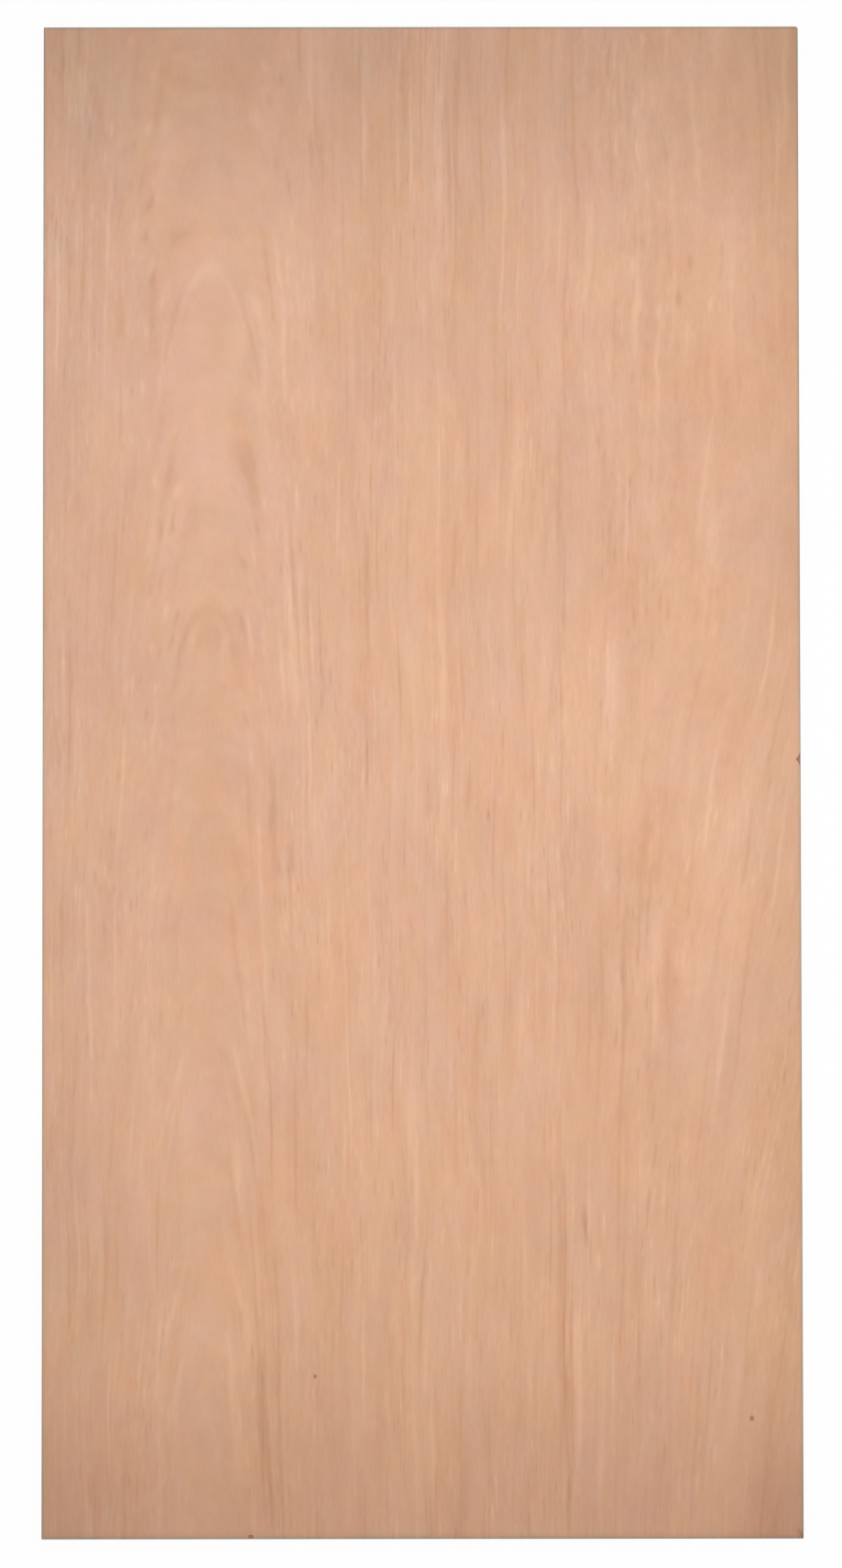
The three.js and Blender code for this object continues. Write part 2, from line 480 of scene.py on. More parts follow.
# Single streaks of the face: half width and half length in millimetres and strength, less than 0
# for a dark one, and where each streak of that kind has its middle, across and along.
STREAKS = (
    # Dark ones, from short to long.
    (5, 35, -0.8, ((52, 730), (74, -25), (-484, 750))),
    (5, 68, -0.78, ((74, 525), (52, 345), (68, 140), (90, -385), (112, -555), (-250, -430),
                    (-278, 500), (60, 1100))),
    (6, 115, -0.75, ((56, 1055), (42, -225), (-242, -60), (-88, 315), (-166, 1035),
                     (230, -1015), (222, 495))),
    (5.5, 150, -0.53, ((288, -335), (326, -365))),
    # Broad and faint.
    (16, 95, -0.53, ((74, 855), (362, -125), (464, 625))), (37, 70, -0.38, ((-333, 240),)),
    # The strongest, wide ones with thin ones beside them, and pale wood between.
    (7.5, 345, -0.8, ((-250, -890), (222, -835))),
    (4, 235, -1.3, ((-262, -960), (-230, -1000), (228, -800), (240, -960))),
    (4, 130, -1.1, ((-244, -1120), (234, -1120))),
    (4, 170, 1.25, ((-246, -1000), (252, -930))),
    # Three towards the head.
    (5.5, 150, -0.8, ((44, 1020), (56, 810))), (3.5, 55, -1.1, ((-176, 1000),)),
    # A pale bundle beside the arches.
    (9, 135, 1.2, ((-210, 240),)), (2.5, 80, -1.0, ((-207, 300),)),
    (3, 95, 1.4, ((-215, 311), (-196, 255), (-178, 230), (-226, 200))),
    # Pale ones, from long to short.
    (6.5, 270, 0.8, ((36, 125), (354, 905), (-10, -630))),
    (6, 140, 0.75, ((26, 1020), (306, 125), (502, 795), (464, 330), (270, 850), (-300, -1015),
                    (244, -875), (288, -1060), (376, -320), (480, -445), (134, 1005))),
    (6, 95, 0.75, ((-294, -645), (-396, -975), (16, -1075), (-94, 1055))),
    (5.5, 55, 0.75, ((-198, -845), (-270, -1180), (-264, 745))),
    (5, 38, 0.8, ((-278, 235), (-374, 220))),
)

# Rings that stand out as arches over the pith: height of the top, half width of the line measured
# along the sheet, and how far below the top the legs are strongest and how far they reach from
# there, in millimetres; then strength, and which leg: -1 the left, 1 the right and 0 both.
ARCHES = (
    (828, 16, 40, 90, 0.4, 0), (862, 24, 150, 90, -0.5, -1), (862, 24, 150, 80, -0.5, 1),
    (644, 30, 130, 100, -0.4, -1), (644, 36, 120, 110, -0.3, 1),
    (305, 20, 60, 130, 0.3, 0), (262, 40, 90, 120, -0.3, 0), (-60, 30, 80, 160, -0.3, 0),
    (-393, 24, 140, 150, 0.6, 0), (-430, 26, 150, 150, -0.5, 1), (-741, 24, 130, 140, 0.5, 0),
)
# The arches are parabolas: the square of a leg's distance from the pith's line, over this, is how
# far it has come down from the top.
ARCH_WIDTH = 30 * MM
# How far from the pith the rings have their full strength, and the gains there and over the pith.
FLANK = 90 * MM
FLANK_GAIN = 4
PITH_GAIN = 0.8
# How far out the middle of a single leg lies, and the half widths of both legs and of one.
LEG_OFFSET = 70
LEG_HALF_WIDTHS = (95, 60)

# A streak fades out at this many half sizes from its middle.
STREAK_FADE = 1.4
# The distance, in half sizes, that counts as far from every streak.
FAR = 9.0

# Pin knots and mineral marks, given like the streaks. They are thin or small, and stand out
# more. A mark's strength is in tenths of the way from the dark to the pale end of the wood's tone.
MARKS = (
    (3, 4, -10, ((-172, -960),)), (4, 5, -10, ((528, -1028),)), (5, 30, -4, ((260, -718),)),
    (4, 40, -2, ((233, -976),)), (3, 12, -4, ((108, -58),)), (4, 6, -3.5, ((602, -1208),)),
    (2.5, 130, -2.2, ((228, -900), (206, -760), (-240, -860), (-256, -1000), (-242, -560))),
    (3.5, 28, -1.3, ((48, 133), (-242, -49), (-404, 484), (279, -355),
                     (235, -1148), (211, -1035), (262, -906))), (6, 22, 1.2, ((-436, 825),)),
)


def grain_nodes(tree):
    """The grain's space as shader values: a vector of growth, along and leg, where growth is the
    distance from the pith and leg tells the two legs of an arch apart."""
    space = add(tree, "Attribute", attribute_name="grain", out="Vector")
    from_pith = add(tree, "SeparateXYZ", space, out=0)
    along = add(tree, "SeparateXYZ", space, out=1)
    flat = add(tree, "VectorMath", space, (1, 0, 1), operation="MULTIPLY")
    even_growth = add(tree, "VectorMath", flat, operation="LENGTH", out="Value")
    # No line runs quite straight: they waver together by a millimetre or two.
    waver = drawn_out_noise(tree, space, (25, 7, 9), 61, 3, 6 * MM)
    growth = add(tree, "Math", even_growth, waver, operation="ADD")
    return add(tree, "CombineXYZ", growth, along, from_pith)


def drawn_out_noise(tree, space, counts, seed, octaves, gain):
    """Noise drawn out along the grain, centred on 0. The counts are its coarsest pattern's
    repeats a metre across the growth, along the grain and from leg to leg. Each finer octave is
    as strong as the one before, which is how the veneer's own contrast is shared out."""
    place = add(tree, "VectorMath", space, counts, (seed, seed, seed), operation="MULTIPLY_ADD")
    noise = add(tree, "TexNoise", named={"Vector": place, "Scale": 1, "Detail": octaves - 1,
                                         "Roughness": 1.0})
    return add(tree, "Math", noise, gain, -gain / 2, operation="MULTIPLY_ADD")


def signed_square(tree, value):
    """A value times its own size: what is faint grows fainter, and the few peaks stand out."""
    size = add(tree, "Math", value, operation="ABSOLUTE")
    return add(tree, "Math", value, size, operation="MULTIPLY")


def held_within(tree, value, limit):
    """A value held softly between minus and plus the limit, so that no line is much stronger
    than its neighbours."""
    value = add(tree, "Math", value, -limit, limit / 2, operation="SMOOTH_MAX")
    return add(tree, "Math", value, limit, limit / 2, operation="SMOOTH_MIN")


def ring_lines(tree, space, spacing, length, seed, gain):
    """Growth rings as single lines. The growth is cut into rings a spacing apart, crowded and
    spread by slow noise. A line is a bump across its ring, nothing at the ring's two sides, and
    its strength is noise squared with its sign kept, read once a ring and drawn out along it, so
    most lines are faint and a few are strong. Over the pith the knife runs along the rings, so
    there they fade."""
    crowding = drawn_out_noise(tree, space, (8, 0.9, 2), seed, 2, 5.0)
    phase = add(tree, "Math", add(tree, "SeparateXYZ", space, out=0), 1 / spacing, crowding,
                operation="MULTIPLY_ADD")
    number = add(tree, "Math", phase, operation="FLOOR")
    within = add(tree, "Math", phase, 0.5, operation="PINGPONG")
    bump = add(tree, "Math", within, within, operation="MULTIPLY")
    own_place = add(tree, "CombineXYZ", number, add(tree, "SeparateXYZ", space, out=1),
                    add(tree, "SeparateXYZ", space, out=2))
    own = drawn_out_noise(tree, own_place, (7.31, 1 / length, 1.5), seed + 3, 2, 1.0)
    line = add(tree, "Math", bump, signed_square(tree, own), operation="MULTIPLY")
    from_pith = add(tree, "Math", add(tree, "SeparateXYZ", space, out=2), operation="ABSOLUTE")
    flank = add(tree, "MapRange", from_pith, 0.0, FLANK, PITH_GAIN * gain, FLANK_GAIN * gain)
    return add(tree, "Math", line, flank, operation="MULTIPLY")


def streak_nodes(tree, space, kinds):
    """The sum of streaks, given kind by kind as half sizes and strength, and the middles of that
    kind's streaks, all in the space given. A streak is an ellipse there, smooth from its middle
    out, so it follows the grain's lines. A kind's streaks lie apart, so the nearest one counts."""
    total = 0.0
    for size, strength, middles in kinds:
        place = add(tree, "VectorMath", space, tuple(1 / size), operation="MULTIPLY")
        nearest = FAR
        for middle in middles:
            distance = add(tree, "VectorMath", place, tuple(middle / size), operation="DISTANCE",
                           out="Value")
            nearest = add(tree, "Math", distance, nearest, operation="MINIMUM")
        weight = add(tree, "MapRange", nearest, 0.0, STREAK_FADE, strength, 0.0,
                     interpolation_type="SMOOTHSTEP")
        total = add(tree, "Math", total, weight, operation="ADD")
    return total


def in_grain_space(kinds):
    """Kinds of streaks with their middles on the face, turned into the grain's space. Growth
    rises more slowly over the pith, so they are narrower there in growth. Each stays on its own
    leg of an arch."""
    for half_width, half_length, strength, places in kinds:
        from_pith, along, depth = grain(np.array(places) * MM).T
        middles = np.stack([np.hypot(from_pith, depth), along, from_pith], axis=1)
        narrowed = np.clip(np.abs(from_pith) / middles[:, 0], 0.2, 1).mean()
        size = np.array([half_width * narrowed, half_length, 5 * half_width + 60]) * MM
        yield size, strength, middles


def arch_nodes(tree, space, arches):
    """The sum of arches. They are streaks in a space whose first value is the height of the top
    of the parabola that runs through a place."""
    across = add(tree, "SeparateXYZ", space, out=2)
    along = add(tree, "SeparateXYZ", space, out=1)
    drop = add(tree, "Math", across, across, operation="MULTIPLY")
    top = add(tree, "Math", drop, 1 / ARCH_WIDTH, along, operation="MULTIPLY_ADD")
    arch_space = add(tree, "CombineXYZ", top, along, across)
    kinds = []
    for height, half_width, below, reach, strength, leg in arches:
        size = np.array([half_width, reach, LEG_HALF_WIDTHS[abs(leg)]]) * MM
        middle = np.array([[height, height - below, leg * LEG_OFFSET]]) * MM
        kinds.append((size, strength, middle))
    return streak_nodes(tree, arch_space, kinds)


# ---------------------------------------------------------------- materials

# What the wood's middle tone is multiplied by at the dark and the pale end of its figure.
# Darker wood is redder and stronger in colour, paler wood is greyer.
DARK_END = (0.775, 0.66, 0.535)
PALE_END = (1.215, 1.365, 1.50)

# How much of a pore's depth each colour takes. Blue takes most, so that a pore is the same step
# of lightness in all three.
PORE_TINT = (0.73, 1.10, 1.30)

# The ends of the wood's two ranges of hue at the same lightness.
PINK_TO_TAN = ((0.985, 0.990, 1.055), (1.020, 0.998, 0.945))
ROSE_TO_OLIVE = ((1.014, 0.992, 0.998), (0.986, 1.008, 1.002))

# How strong a line of the figure or a bunch of pores can be.
FIGURE_LIMIT = 0.21
PORE_LIMIT = 0.135

# What dirt, rubbing, glue and tearing multiply the wood's colour by where they are full; the dirt,
# rubbing and tearing tints also paint the shade of the rounded edges and of the breaks' hollows.
GRIME_AND_SHADE_TINT = (0.70, 0.87, 0.97)
RUBBED_AND_SHADED_TINT = (0.72, 0.70, 0.68)
SAWN_GLUE_TINT = (0.30, 0.24, 0.20)
TORN_GLUE_TINT = (0.45, 0.36, 0.30)
TORN_DIRT_AND_SHADE_TINT = (0.50, 0.38, 0.31)

# The middle tones of the cut plies, across the grain and along it.
END_GRAIN_TONE = "#A9795A"
LONG_GRAIN_TONE = "#CFA584"
SAWN_ROUGHNESS = 0.72
# How much the plies differ from one another in tone, and about half of that.
PLY_SPREAD = 0.35
PLY_MIDDLE = 0.17

# How the tone drifts across the sheet, axis 0, and along it, axis 1, partly as painted shade of the
# light's falloff: the axis, where the drift starts and where it is full in metres, and what the tone
# is multiplied by there.
SHADE_AND_TONE_DRIFTS = (
    # The foot's wood is a stronger colour than the head's, most of all along its last 370 mm, and
    # both ends are darker, partly as painted shade where the light falls off.
    (1, 0.20, -1.22, (0.98, 0.955, 0.89)), (1, -0.85, -1.22, (0.89, 0.865, 0.875)),
    (1, 0.80, 1.22, (0.875, 0.892, 0.90)), (1, -1.205, -1.22, (0.88, 0.92, 0.93)),
    # Both long sides are darker and stronger in tone along their last hand's breadth, the right one
    # more: partly the wood's tone, partly painted shade.
    (0, 0.49, 0.62, (0.92, 0.90, 0.85)), (0, -0.40, -0.61, (0.945, 0.96, 0.968)),
)

# Soft patches that are paler or darker than the wood round them, and darker patches at the
# corners: middle and reach in metres, and what the tone is multiplied by there.
TONE_PATCHES = (
    ((-0.62, 0.70, 0.0), 0.62, (1.06, 1.10, 1.165)),
    ((0.50, 0.74, 0.0), 0.48, (1.045, 1.045, 1.045)),
    ((-0.10, 0.92, 0.0), 0.34, (1.03, 1.065, 1.08)),
    ((0.33, 0.03, 0.0), 0.42, (1.045, 1.045, 1.015)),
    ((0.60, -1.00, 0.0), 0.40, (1.015, 1.03, 1.03)),
    ((-0.60, -0.72, 0.0), 0.34, (0.95, 0.955, 0.965)),
    ((-0.31, -1.08, 0.0), 0.25, (0.945, 0.935, 0.90)),
    ((0.60, 1.10, 0.0), 0.32, (0.965, 0.95, 0.91)),
    ((0.61, -1.23, 0.0), 0.22, (0.89, 0.84, 0.84)),
    ((-0.61, -1.23, 0.0), 0.35, (0.95, 0.93, 0.92)),
    ((-0.61, 1.23, 0.0), 0.30, (0.965, 0.945, 0.93)),
)


def wood_tone(tree, tone, figure):
    """The wood's colour from its middle tone and its figure, which is 0 at the middle."""
    middle = np.array(linear(tone)[:3])
    factor = add(tree, "Math", figure, 0.5, operation="ADD")
    return add(tree, "Mix", named={0: factor, 6: (*(middle * DARK_END), 1),
                                   7: (*(middle * PALE_END), 1)},
               data_type="RGBA", clamp_factor=False, out=2)


def multiply(tree, colour, amount, tint):
    """A colour multiplied by a tint, by an amount from 0 to 1."""
    return add(tree, "Mix", named={0: amount, 6: colour, 7: (*tint, 1)},
               data_type="RGBA", blend_type="MULTIPLY", out=2)


def level_in_plies(tree):
    """Where a place is in the lay-up, counted in core plies from the back's glue line."""
    sheet = bpy.context.scene.plywood_sheet
    pitch = 2 * (HALF[2] - sheet.face_veneer) / sheet.core_plies
    level = add(tree, "Attribute", attribute_name="level", out="Fac")
    return add(tree, "Math", level, 1 / pitch, -sheet.face_veneer / pitch,
               operation="MULTIPLY_ADD")


def bare_plies(tree, end_grain_odd):
    """The colour of the plies where they are cut or torn across: turn by turn end grain and long
    grain, with dark glue lines between."""
    level = level_in_plies(tree)
    number = add(tree, "Math", level, operation="FLOOR")
    odd = add(tree, "Math", number, 2.0, operation="FLOORED_MODULO")
    place = add(tree, "TexCoord", out="Object")
    x = add(tree, "SeparateXYZ", place, out=0)
    y = add(tree, "SeparateXYZ", place, out=1)
    run = add(tree, "Math", x, y, operation="ADD")
    tone = add(tree, "TexWhiteNoise", named={"W": number}, noise_dimensions="1D")

    # End grain is a fine even speckle of cut pores; long grain is drawn out along the edge.
    # Real pores are 0.2 mm, drawn at 1.5 mm so that they still show from a metre away.
    speckle_place = add(tree, "CombineXYZ", run, level, number)
    speckle = drawn_out_noise(tree, speckle_place, (650, 2.2, 7), 3.0, 2, 0.9)
    fibre = drawn_out_noise(tree, speckle_place, (14, 3.0, 7), 8.0, 4, 0.8)
    end_figure = add(tree, "Math", tone, PLY_SPREAD, speckle, operation="MULTIPLY_ADD")
    long_figure = add(tree, "Math", tone, PLY_SPREAD, fibre, operation="MULTIPLY_ADD")
    end = wood_tone(tree, END_GRAIN_TONE,
                    add(tree, "Math", end_figure, PLY_MIDDLE, operation="SUBTRACT"))
    long = wood_tone(tree, LONG_GRAIN_TONE,
                     add(tree, "Math", long_figure, PLY_MIDDLE, operation="SUBTRACT"))
    first, second = (long, end) if end_grain_odd else (end, long)
    wood = add(tree, "Mix", named={0: odd, 6: first, 7: second}, data_type="RGBA", out=2)

    # Glue lines are 0.15 mm, drawn at 0.3 mm.
    in_ply = add(tree, "Math", level, operation="FRACT")
    from_glue = add(tree, "Math", in_ply, 0.5, 0.5, operation="PINGPONG")
    line = add(tree, "MapRange", from_glue, 0.05, 0.13, 1.0, 0.0, interpolation_type="SMOOTHSTEP")
    return wood, line


def finish_wood(tree, colour, roughness, relief, depth):
    """The shader of bare wood, with its fibres raised a little."""
    normal = add(tree, "Bump", named={"Strength": 0.5, "Distance": depth, "Height": relief},
                 out="Normal")
    shader = add(tree, "BsdfPrincipled", named={
        "Base Color": colour, "Roughness": roughness, "IOR": 1.5, "Normal": normal})
    add(tree, "OutputMaterial", named={"Surface": shader})


def torn_plies(tree, colour):
    """A veneer's colour where it is whole, and the torn plies below, darkened for dirt and with
    painted shade of the hollow, where the sheet's surface lies under its glue line."""
    below, glue = bare_plies(tree, True)
    below = multiply(tree, below, glue, TORN_GLUE_TINT)
    stain_and_shade = add(tree, "Attribute", attribute_name="stain_and_shade", out="Fac")
    # Painted shade: the torn plies are darkened partly for dirt, partly for the shade in the break.
    below = multiply(tree, below, stain_and_shade, TORN_DIRT_AND_SHADE_TINT)
    level = add(tree, "Attribute", attribute_name="level", out="Fac")
    torn = add(tree, "MapRange", level, SHEET_HIGH[2] - 0.35 * MM, SHEET_HIGH[2] - 0.6 * MM,
               0.0, 1.0)
    return add(tree, "Mix", named={0: torn, 6: colour, 7: below}, data_type="RGBA", out=2)


def veneer_figure(tree, space, finish, seed, is_face):
    """The veneer's figure, 0 at the middle, and its short unevenness by itself."""
    # Growth rings: long crisp lines 8 mm apart, from which the eye reads the arches, and
    # softer ones 26 mm apart.
    fine_rings = ring_lines(tree, space, 8 * MM, 0.40, seed, finish.rings)
    broad_rings = ring_lines(tree, space, 26 * MM, 0.7, seed + 5, finish.rings / 2)
    # Soft patches of tone, from 160 mm down to 20 mm across: they keep the face from looking ruled.
    clouds = drawn_out_noise(tree, space, (6, 1.2, 4), seed + 7, 4, finish.clouds)
    fuzz = drawn_out_noise(tree, space, (45, 14, 9), seed + 17, 3, finish.fuzz)
    figure = 0.0
    for layer in (fine_rings, broad_rings, clouds, fuzz):
        figure = add(tree, "Math", figure, layer, operation="ADD")
    if is_face:
        # Single streaks and arches, ragged like the fibres that make them.
        ragged = drawn_out_noise(tree, space, (90, 4, 6), seed + 31, 3, 5.0)
        raggedness = add(tree, "Math", ragged, 1.0, operation="ADD")
        total = add(tree, "Math", streak_nodes(tree, space, in_grain_space(STREAKS)),
                    arch_nodes(tree, space, ARCHES), operation="ADD")
        rough_streaks = add(tree, "Math", total, raggedness, operation="MULTIPLY")
        figure = add(tree, "Math", rough_streaks, finish.streaks, figure,
                     operation="MULTIPLY_ADD")
    figure = held_within(tree, figure, FIGURE_LIMIT)
    if is_face:
        marks = streak_nodes(tree, space, in_grain_space(MARKS))
        figure = add(tree, "Math", marks, 0.1, figure, operation="MULTIPLY_ADD")
    return figure, fuzz


def veneer_pores(tree, space, finish, seed):
    """The depth of the pores, less than 0 where the wood is darker, and their fine nap by
    itself."""
    # Thin crisp scratches 6 mm apart in bunches, with smooth wood between, and a fine nap of
    # short ones.
    scratches = ring_lines(tree, space, 6 * MM, 0.06, seed + 9, 2.8)
    bunching = drawn_out_noise(tree, space, (11, 2.0, 4), seed + 23, 2, 6.0)
    bunches = add(tree, "Math", add(tree, "Math", bunching, 0.9, operation="ADD"), 0.15,
                  operation="MAXIMUM")
    bunched = add(tree, "Math", scratches, bunches, operation="MULTIPLY")
    scratches = held_within(tree, bunched, PORE_LIMIT)
    nap = drawn_out_noise(tree, space, (130, 16, 9), seed + 11, 3, 0.10)
    # The pores at their real size, 0.7 mm apart and 15 mm long, for a look from near by.
    hair = drawn_out_noise(tree, space, (9, 65, 1400), seed + 29, 1, 0.14)
    pores = add(tree, "Math", scratches, add(tree, "Math", nap, hair, operation="ADD"),
                operation="ADD")
    return add(tree, "Math", pores, finish.fibre, operation="MULTIPLY"), nap


def strayed_hue(tree, space, colour, finish, seed):
    """The colour with its hue strayed in soft patches, from pink to tan and rose to olive."""
    for ends, counts, octaves in ((PINK_TO_TAN, (7, 4, 5), 4), (ROSE_TO_OLIVE, (14, 8, 9), 3)):
        stray = drawn_out_noise(tree, space, counts, seed + 53 + octaves, octaves, 3.2)
        factor = add(tree, "Math", stray, 0.5, operation="ADD", use_clamp=True)
        tint = add(tree, "Mix", named={0: factor, 6: (*ends[0], 1), 7: (*ends[1], 1)},
                   data_type="RGBA", out=2)
        colour = add(tree, "Mix", named={0: finish.blush, 6: colour, 7: tint},
                     data_type="RGBA", blend_type="MULTIPLY", out=2)
    return colour


def shaded_and_drifted_tone(tree, place, colour, is_face):
    """The colour with the sheet's slow drifts of tone, which are partly painted shade of the light's
    falloff, and on the face its soft patches.
    """
    # Painted shade: darker towards the ends and the long sides, where the light falls off.
    for axis, start, full, tint in SHADE_AND_TONE_DRIFTS:
        shade_and_drift = add(tree, "MapRange", add(tree, "SeparateXYZ", place, out=axis), start, full,
                    0.0, 1.0, interpolation_type="SMOOTHSTEP")
        colour = multiply(tree, colour, shade_and_drift, tint)
    for middle, reach, tint in TONE_PATCHES if is_face else ():
        distance = add(tree, "VectorMath", place, middle, operation="DISTANCE", out="Value")
        patch_share = add(tree, "MapRange", distance, 0.0, reach, 1.0, 0.0,
                        interpolation_type="SMOOTHSTEP")
        colour = multiply(tree, colour, patch_share, tint)
    return colour


def grimy_and_shaded_edges(tree, place, colour, fuzz, finish):
    """The colour with the line along the edges: a greyer band that is uneven like the wood, partly
    handling dirt and partly painted shade of the rounded edge, and the rubbed arris, darkened for
    wear and with painted shade."""
    from_sides = []
    for axis in (0, 1):
        across = add(tree, "Math", add(tree, "SeparateXYZ", place, out=axis),
                     operation="ABSOLUTE")
        from_sides.append(add(tree, "Math", HALF[axis], across, operation="SUBTRACT"))
    from_edge = add(tree, "Math", *from_sides, operation="MINIMUM")
    unevenness = add(tree, "Math", fuzz, 6.0, 0.9, operation="MULTIPLY_ADD")
    # Painted shade: both bands darken the edge partly for dirt and wear, partly for the arris's
    # shade.
    grime_and_shade = add(tree, "MapRange", from_edge, 0.5 * MM, finish.grime_and_shade_width, unevenness, 0.0,
                interpolation_type="SMOOTHSTEP")
    colour = multiply(tree, colour, grime_and_shade, GRIME_AND_SHADE_TINT)
    rubbed_and_shaded = add(tree, "MapRange", from_edge, 0.4 * MM, 1.6 * MM, unevenness, 0.0,
                 interpolation_type="SMOOTHSTEP")
    return multiply(tree, colour, rubbed_and_shaded, RUBBED_AND_SHADED_TINT)


def sanded_veneer(name, finish, seed, is_face):
    """Rotary-peeled hardwood veneer, sanded and left bare: matt, with soft growth bands, fine
    drawn-out fibre lines, and a greyer line along the edges, partly handling dirt and partly painted
    shade of the arris. The face has streaks and marks of its own, soft patches and broken places; the
    back is plain."""
    material, tree = new_material(name)
    space = grain_nodes(tree)
    figure, fuzz = veneer_figure(tree, space, finish, seed, is_face)
    colour = wood_tone(tree, finish.veneer_tone, figure)
    pores, nap = veneer_pores(tree, space, finish, seed)
    shade = add(tree, "VectorMath", pores, PORE_TINT, (1, 1, 1), operation="MULTIPLY_ADD")
    colour = add(tree, "VectorMath", colour, shade, operation="MULTIPLY")
    colour = strayed_hue(tree, space, colour, finish, seed)
    place = add(tree, "TexCoord", out="Object")
    colour = shaded_and_drifted_tone(tree, place, colour, is_face)
    colour = grimy_and_shaded_edges(tree, place, colour, fuzz, finish)
    if is_face:
        colour = torn_plies(tree, colour)
    # A pore shows only as a slightly duller line, and the nap's relief is under 0.03 mm.
    roughness = add(tree, "Math", pores, 0.4, 0.56, operation="MULTIPLY_ADD")
    finish_wood(tree, colour, roughness, nap, 0.3 * MM)
    return material


def sawn_plies(name, end_grain_odd):
    """A sawn edge: bare plies, turn by turn end grain and long grain, with thin dark glue lines.
    It shows at once that the board is plywood."""
    material, tree = new_material(name)
    wood, line = bare_plies(tree, end_grain_odd)
    colour = multiply(tree, wood, line, SAWN_GLUE_TINT)
    finish_wood(tree, colour, SAWN_ROUGHNESS, line, -0.1 * MM)
    return material


# ---------------------------------------------------------------- operators


class PLYWOOD_OT_add_sheet(bpy.types.Operator):
    """Add the plywood sheet, with its face up"""

    bl_idname = "plywood.add_sheet"
    bl_label = "Add Plywood Sheet"

    def execute(self, context):
        scene = context.scene
        mesh = build_mesh("plywood_board", scene.plywood_sheet)
        finish = scene.veneer_finish
        for material in (sanded_veneer("sanded_face_veneer", finish, 1.7, True),
                         sanded_veneer("sanded_back_veneer", finish, 61.3, False),
                         sawn_plies("sawn_long_edge_plies", False),
                         sawn_plies("sawn_short_edge_plies", True)):
            mesh.materials.append(material)
        board = bpy.data.objects.new("plywood_board", mesh)
        scene.collection.objects.link(board)
        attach(board, "root")
        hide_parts(NODE)
        return {"FINISHED"}


class PLYWOOD_OT_add_studio(bpy.types.Operator):
    """Add the floor, the light and the camera"""

    bl_idname = "plywood.add_studio"
    bl_label = "Add Studio"

    def execute(self, context):
        scene = context.scene
        studio = scene.plywood_studio
        add_floor(scene)
        add_world(scene, studio)
        add_softbox(scene, "softbox", studio.softbox_power, SOFTBOX_PLACE, 0)
        add_softbox(scene, "back_softbox", studio.back_power, BACK_SOFTBOX_PLACE, math.pi)
        add_camera(scene, studio)
        scene.view_settings.view_transform = "Standard"
        return {"FINISHED"}


FLOOR_SIZE = 60.0
# How much of the floor's brightness is plain white when it is seen straight.
FLOOR_WHITENESS = 0.96
# The softbox hangs right of the middle and towards the head, so the far sides are dimmer.
SOFTBOX_SIZE = (2.87, 3.05)
SOFTBOX_PLACE = (0.166, 0.064, 1.19)
BACK_SOFTBOX_PLACE = (0, 0, -1.19)
FRAME_LONG_SIDE_PX = 1711
SENSOR_LONG_SIDE = 36.0
# How much of the face a pixel of the full frame shows.
SHEET_SCALE = 1.4745 * MM
CAMERA_LEAN = math.radians(4.4)
CAMERA_ROLL = math.radians(-0.07)
# The place on the face at the middle of the frame.
AIM = (-2.6 * MM, -8.4 * MM)


def seen_directly(tree):
    """1 for rays from the camera and for what shows in gloss or through glass, 0 for others."""
    rays = [add(tree, "LightPath", out=name)
            for name in ("Is Camera Ray", "Is Glossy Ray", "Is Transmission Ray")]
    return add(tree, "Math", add(tree, "Math", *rays[:2], operation="MAXIMUM"), rays[2],
               operation="MAXIMUM")


def add_floor(scene):
    """A pale floor. Straight to the eye it is nearly white, and it still takes the shadow. It is
    open under the sheet's flat back, so that the back is lit from below, and from there it is
    clear, so that the sheet is seen whole."""
    mesh = bpy.data.meshes.new("studio_floor")
    opening = HALF - scene.plywood_sheet.arris_radius
    corners = np.array([(-1, -1, 0), (1, -1, 0), (1, 1, 0), (-1, 1, 0)])
    outside = corners * FLOOR_SIZE / 2
    inside = corners * opening
    quads = [(side, (side + 1) % 4, (side + 1) % 4 + 4, side + 4) for side in range(4)]
    mesh.from_pydata(np.concatenate([outside, inside]).tolist(), [], quads)
    floor = bpy.data.objects.new("studio_floor", mesh)
    scene.collection.objects.link(floor)
    material, tree = new_material("white_paper")
    paper = add(tree, "BsdfDiffuse", linear("#F2F2F2"))
    white = add(tree, "Emission", (1, 1, 1, 1), 1.0)
    share = add(tree, "Math", seen_directly(tree), FLOOR_WHITENESS, operation="MULTIPLY")
    from_above = add(tree, "MixShader", share, paper, white)
    from_below = add(tree, "BsdfTransparent")
    underside = add(tree, "NewGeometry", out="Backfacing")
    add(tree, "OutputMaterial", add(tree, "MixShader", underside, from_above, from_below))
    mesh.materials.append(material)


def add_world(scene, studio):
    """An even fill from all round, seen as white."""
    world = bpy.data.worlds.new("studio_air")
    world.use_nodes = True
    tree = world.node_tree
    tree.nodes.clear()
    fill = add(tree, "Background", (1, 1, 1, 1), studio.fill)
    white = add(tree, "Background", linear("#FBFBFB"), 1.0)
    add(tree, "OutputWorld", add(tree, "MixShader", seen_directly(tree), fill, white))
    scene.world = world


def add_softbox(scene, name, power, location, tilt):
    """A large softbox: one above the sheet, and one below for its back, which shines through the
    floor's opening on nothing else."""
    light = bpy.data.lights.new(name, "AREA")
    light.shape = "RECTANGLE"
    light.size, light.size_y = SOFTBOX_SIZE
    light.energy = power
    box = bpy.data.objects.new(name, light)
    box.location = location
    box.rotation_euler = (tilt, 0, 0)
    box.visible_camera = False
    scene.collection.objects.link(box)


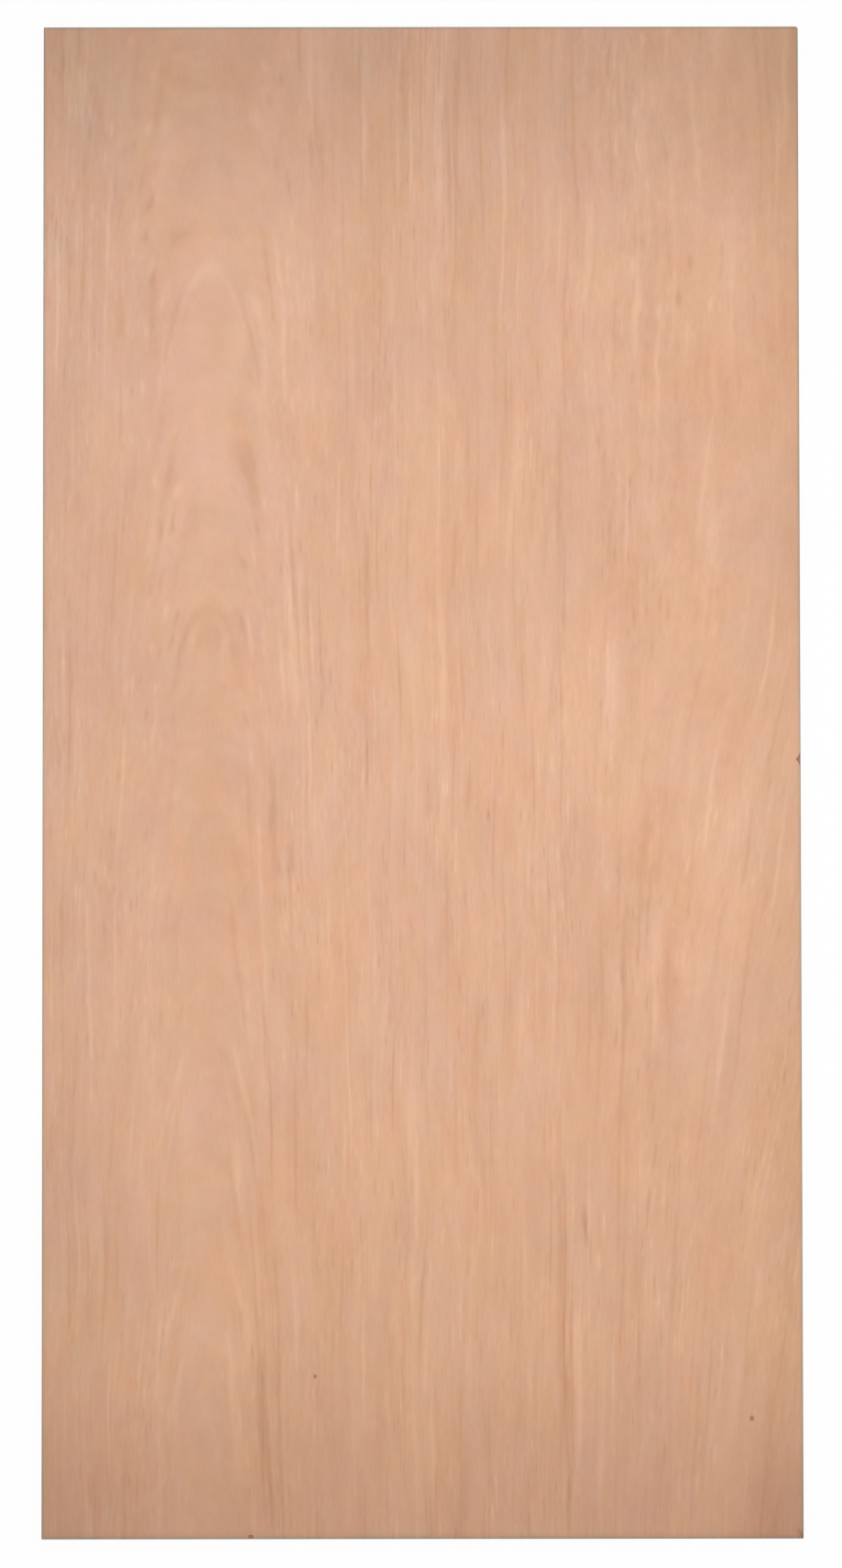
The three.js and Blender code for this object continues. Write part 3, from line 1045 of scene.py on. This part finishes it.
def add_camera(scene, studio):
    """The camera above the sheet, leaning a little towards its foot."""
    data = bpy.data.cameras.new("camera")
    distance = studio.camera_height
    data.sensor_width = SENSOR_LONG_SIDE
    data.lens = SENSOR_LONG_SIDE * distance / (FRAME_LONG_SIDE_PX * SHEET_SCALE)
    data.clip_end = 200.0
    camera = bpy.data.objects.new("camera", data)
    camera.location = (AIM[0], AIM[1] - distance * math.sin(CAMERA_LEAN),
                       SHEET_HIGH[2] + distance * math.cos(CAMERA_LEAN))
    camera.rotation_euler = (CAMERA_LEAN, 0, CAMERA_ROLL)
    scene.collection.objects.link(camera)
    scene.camera = camera


class PLYWOOD_PT_panel(bpy.types.Panel):
    """Lists the sheet and its studio in the sidebar"""

    bl_label = "Plywood Sheet"
    bl_idname = "PLYWOOD_PT_panel"
    bl_space_type = "VIEW_3D"
    bl_region_type = "UI"
    bl_category = "Plywood"

    def draw(self, context):
        scene = context.scene
        layout = self.layout
        for operator, *groups in (
                ("plywood.add_sheet", scene.plywood_sheet, scene.veneer_finish),
                ("plywood.add_studio", scene.plywood_studio)):
            box = layout.box()
            for group in groups:
                for name in group.__annotations__:
                    box.prop(group, name)
            box.operator(operator)


CLASSES = (
    PlywoodSheetSettings, VeneerFinishSettings, StudioSettings,
    PLYWOOD_OT_add_sheet, PLYWOOD_OT_add_studio, PLYWOOD_PT_panel,
)


def register():
    for item in CLASSES:
        bpy.utils.register_class(item)
    bpy.types.Scene.plywood_sheet = bpy.props.PointerProperty(type=PlywoodSheetSettings)
    bpy.types.Scene.veneer_finish = bpy.props.PointerProperty(type=VeneerFinishSettings)
    bpy.types.Scene.plywood_studio = bpy.props.PointerProperty(type=StudioSettings)


def unregister():
    del bpy.types.Scene.plywood_studio
    del bpy.types.Scene.veneer_finish
    del bpy.types.Scene.plywood_sheet
    for item in reversed(CLASSES):
        bpy.utils.unregister_class(item)


def main():
    """Builds the sheet and its studio."""
    register()
    bpy.ops.plywood.add_sheet()
    bpy.ops.plywood.add_studio()


if __name__ == "__main__":
    main()
